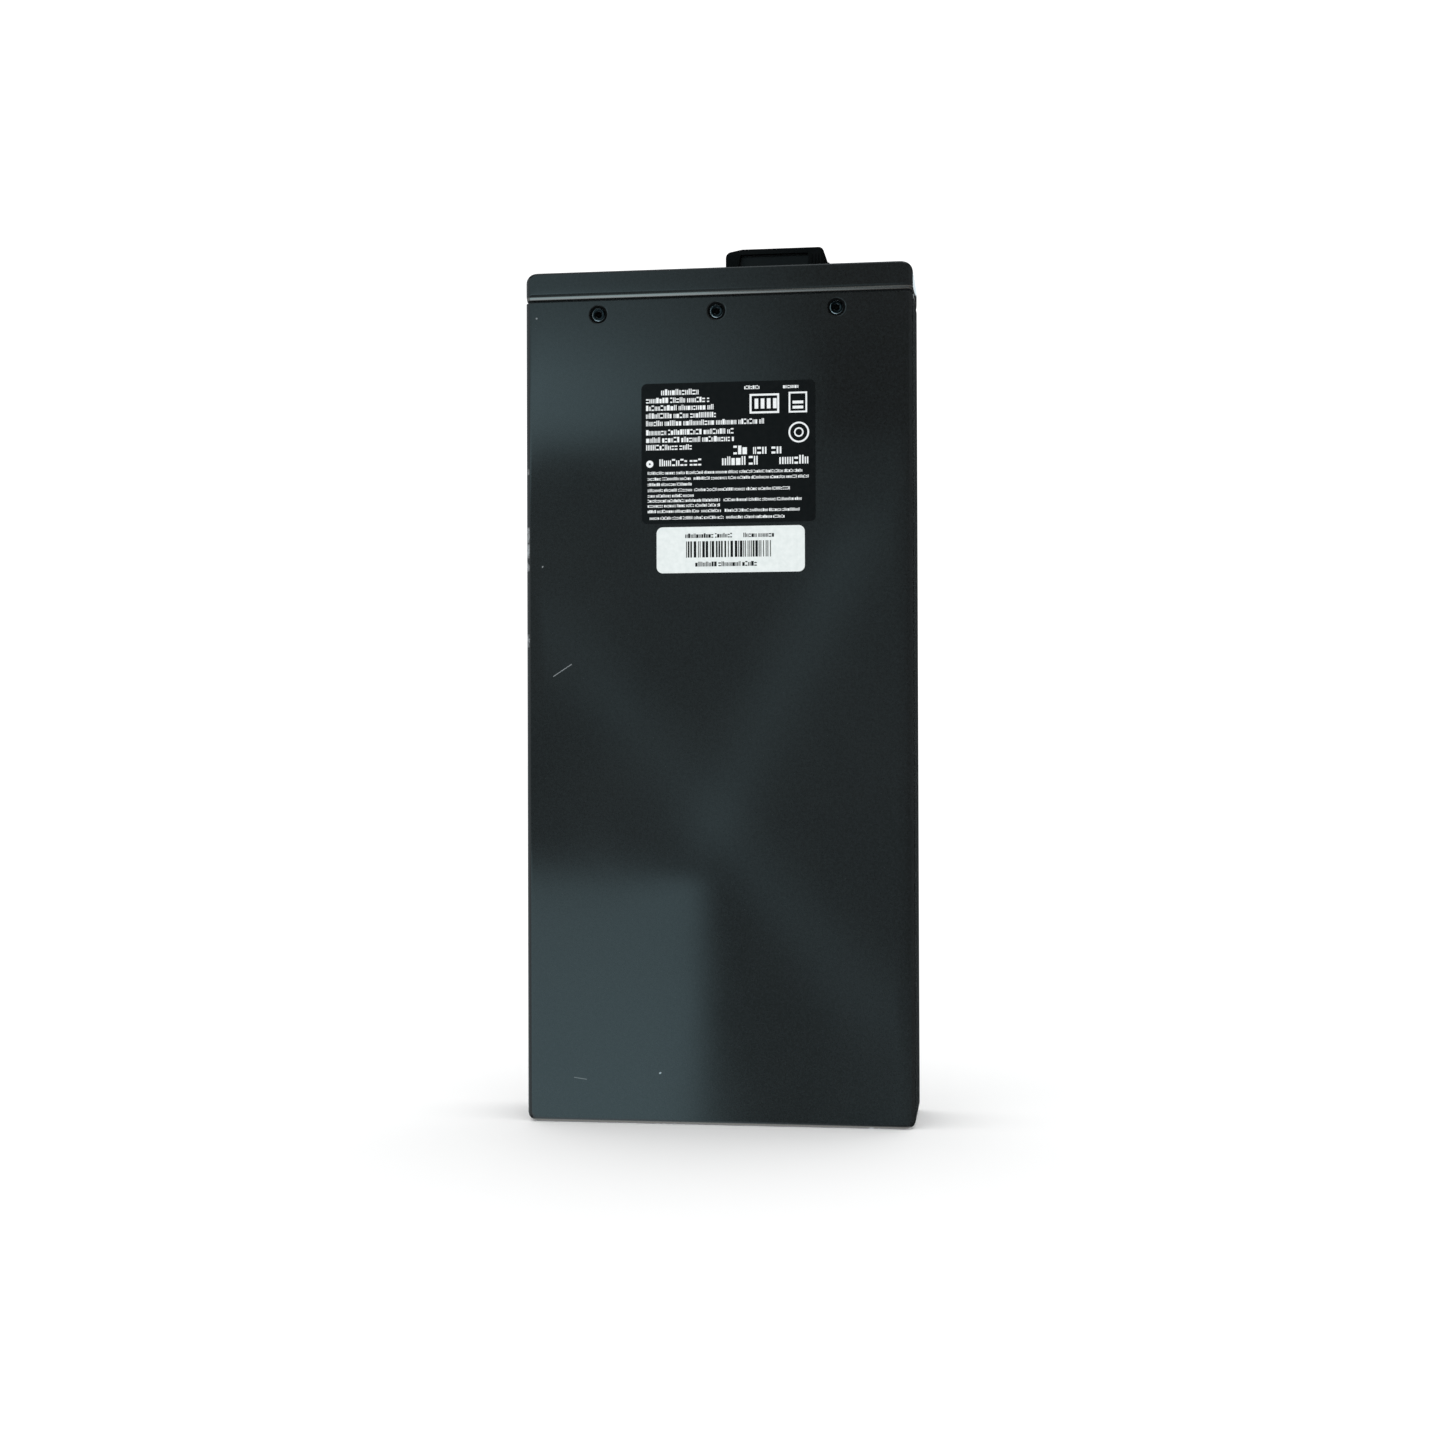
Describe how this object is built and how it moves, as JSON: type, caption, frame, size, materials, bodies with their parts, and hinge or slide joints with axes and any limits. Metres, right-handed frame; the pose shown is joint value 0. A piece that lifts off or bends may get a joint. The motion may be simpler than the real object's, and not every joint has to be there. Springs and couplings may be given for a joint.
{
  "type": "lithium pouch-cell battery pack",
  "caption": "Flat hard-cased lithium battery pack holding stacked pouch cells, with a screwed end cap, a covered power connector and a status button.",
  "frame": {"origin": "middle of the base, on the surface the pack stands on", "axes": "+Z from the base towards the end cap and connector, -Y out of the labelled face, +X to the right seen from that face"},
  "size_m": [0.14, 0.0401, 0.3148],
  "materials": {
    "can_coating": "satin charcoal powder coat over aluminium",
    "cap_coating": "satin charcoal coat over die-cast aluminium",
    "black_silicone": "matt black silicone",
    "blackened_steel": "black oxide",
    "black_label_film": "black polyester label, satin",
    "white_label_film": "white polyester label",
    "housing_nylon": "moulded dark grey nylon",
    "cover_nylon": "moulded black nylon",
    "contact_insulator": "moulded polyester, blue grey",
    "plated_brass": "gold flash over brass",
    "zinc_steel": "zinc plated",
    "stainless_steel": "drawn wire",
    "switch_plastic": "black moulded plastic",
    "button_rubber": "grey moulded elastomer",
    "clear_plastic": "clear acrylic",
    "circuit_board": "green solder mask",
    "led_body": "white package with a clear lens",
    "foam": "closed cell foam",
    "pouch_film": "matt laminated aluminium foil",
    "tab_aluminium": "bare foil",
    "tab_copper": "nickel-edged copper foil",
    "bar_copper": "sheared copper",
    "insulating_sheet": "vulcanised fibre",
    "tray_plastic": "glass filled nylon",
    "ribbon_film": "amber polyimide",
    "thermistor_resin": "blue epoxy",
    "chip_resin": "black moulding resin",
    "bare_aluminium": "extruded, bare",
    "shunt_alloy": "copper nickel alloy",
    "header_plastic": "natural nylon",
    "fuse_ceramic": "glazed ceramic tube with end caps",
    "red_lead": "red silicone insulation",
    "black_lead": "black silicone insulation",
    "signal_wire": "ivory insulation"
  },
  "bodies": {
    "pack": {"case": "can_coating", "end_cap": "cap_coating", "cap_gasket": "black_silicone", "case_screws": "blackened_steel", "rating_label": "black_label_film", "barcode_label": "white_label_film", "connector_housing": "housing_nylon", "connector_gasket": "black_silicone", "connector_screws": "zinc_steel", "contact_block": "contact_insulator", "power_contacts": "plated_brass", "signal_contacts": "plated_brass", "cover_pin": "stainless_steel", "button_spring": "stainless_steel", "button_switch": "switch_plastic", "light_pipe": "clear_plastic", "status_board": "circuit_board", "status_leds": "led_body", "status_board_screws": "zinc_steel", "vent_plug": "switch_plastic", "bottom_pad": "foam", "cell_1": "pouch_film", "cell_2": "pouch_film", "cell_3": "pouch_film", "cell_4": "pouch_film", "cell_5": "pouch_film", "cell_6": "pouch_film", "cell_7": "pouch_film", "cell_8": "pouch_film", "aluminium_tabs": "tab_aluminium", "copper_tabs": "tab_copper", "foam_pads": "foam", "front_insulator": "insulating_sheet", "rear_insulator": "insulating_sheet", "tab_tray_lower": "tray_plastic", "tab_tray_upper": "tray_plastic", "bus_bars_lower": "bar_copper", "bus_bars_upper": "bar_copper", "divider_sheet": "insulating_sheet", "series_link": "bar_copper", "pack_negative_link": "bar_copper", "pack_positive_link": "bar_copper", "sense_ribbon": "ribbon_film", "thermistors": "thermistor_resin", "board_carrier": "tray_plastic", "management_board": "circuit_board", "board_screws": "zinc_steel", "power_transistors": "chip_resin", "heat_spreader": "bare_aluminium", "current_shunt": "shunt_alloy", "board_chips": "chip_resin", "sense_header": "header_plastic", "main_fuse": "fuse_ceramic", "positive_lead": "red_lead", "negative_lead": "black_lead", "signal_leads": "signal_wire"},
    "flip_cover": {"connector_cover": "cover_nylon", "cover_seal": "black_silicone"},
    "button": {"status_button": "button_rubber"}
  },
  "joints": [
    {"name": "cover_hinge", "type": "hinge", "parent": "pack", "child": "flip_cover", "pos_m": [0.0202, 0.012, 0.3125], "axis": [-1, 0, 0], "range_deg": [0, 110]},
    {"name": "button_press", "type": "slide", "parent": "pack", "child": "button", "axis": [0, 0, -1], "range_m": [0, 0.0012], "stiffness_N_per_m": 800, "springref_m": -0.0006, "deforming": ["button_spring"]}
  ]
}
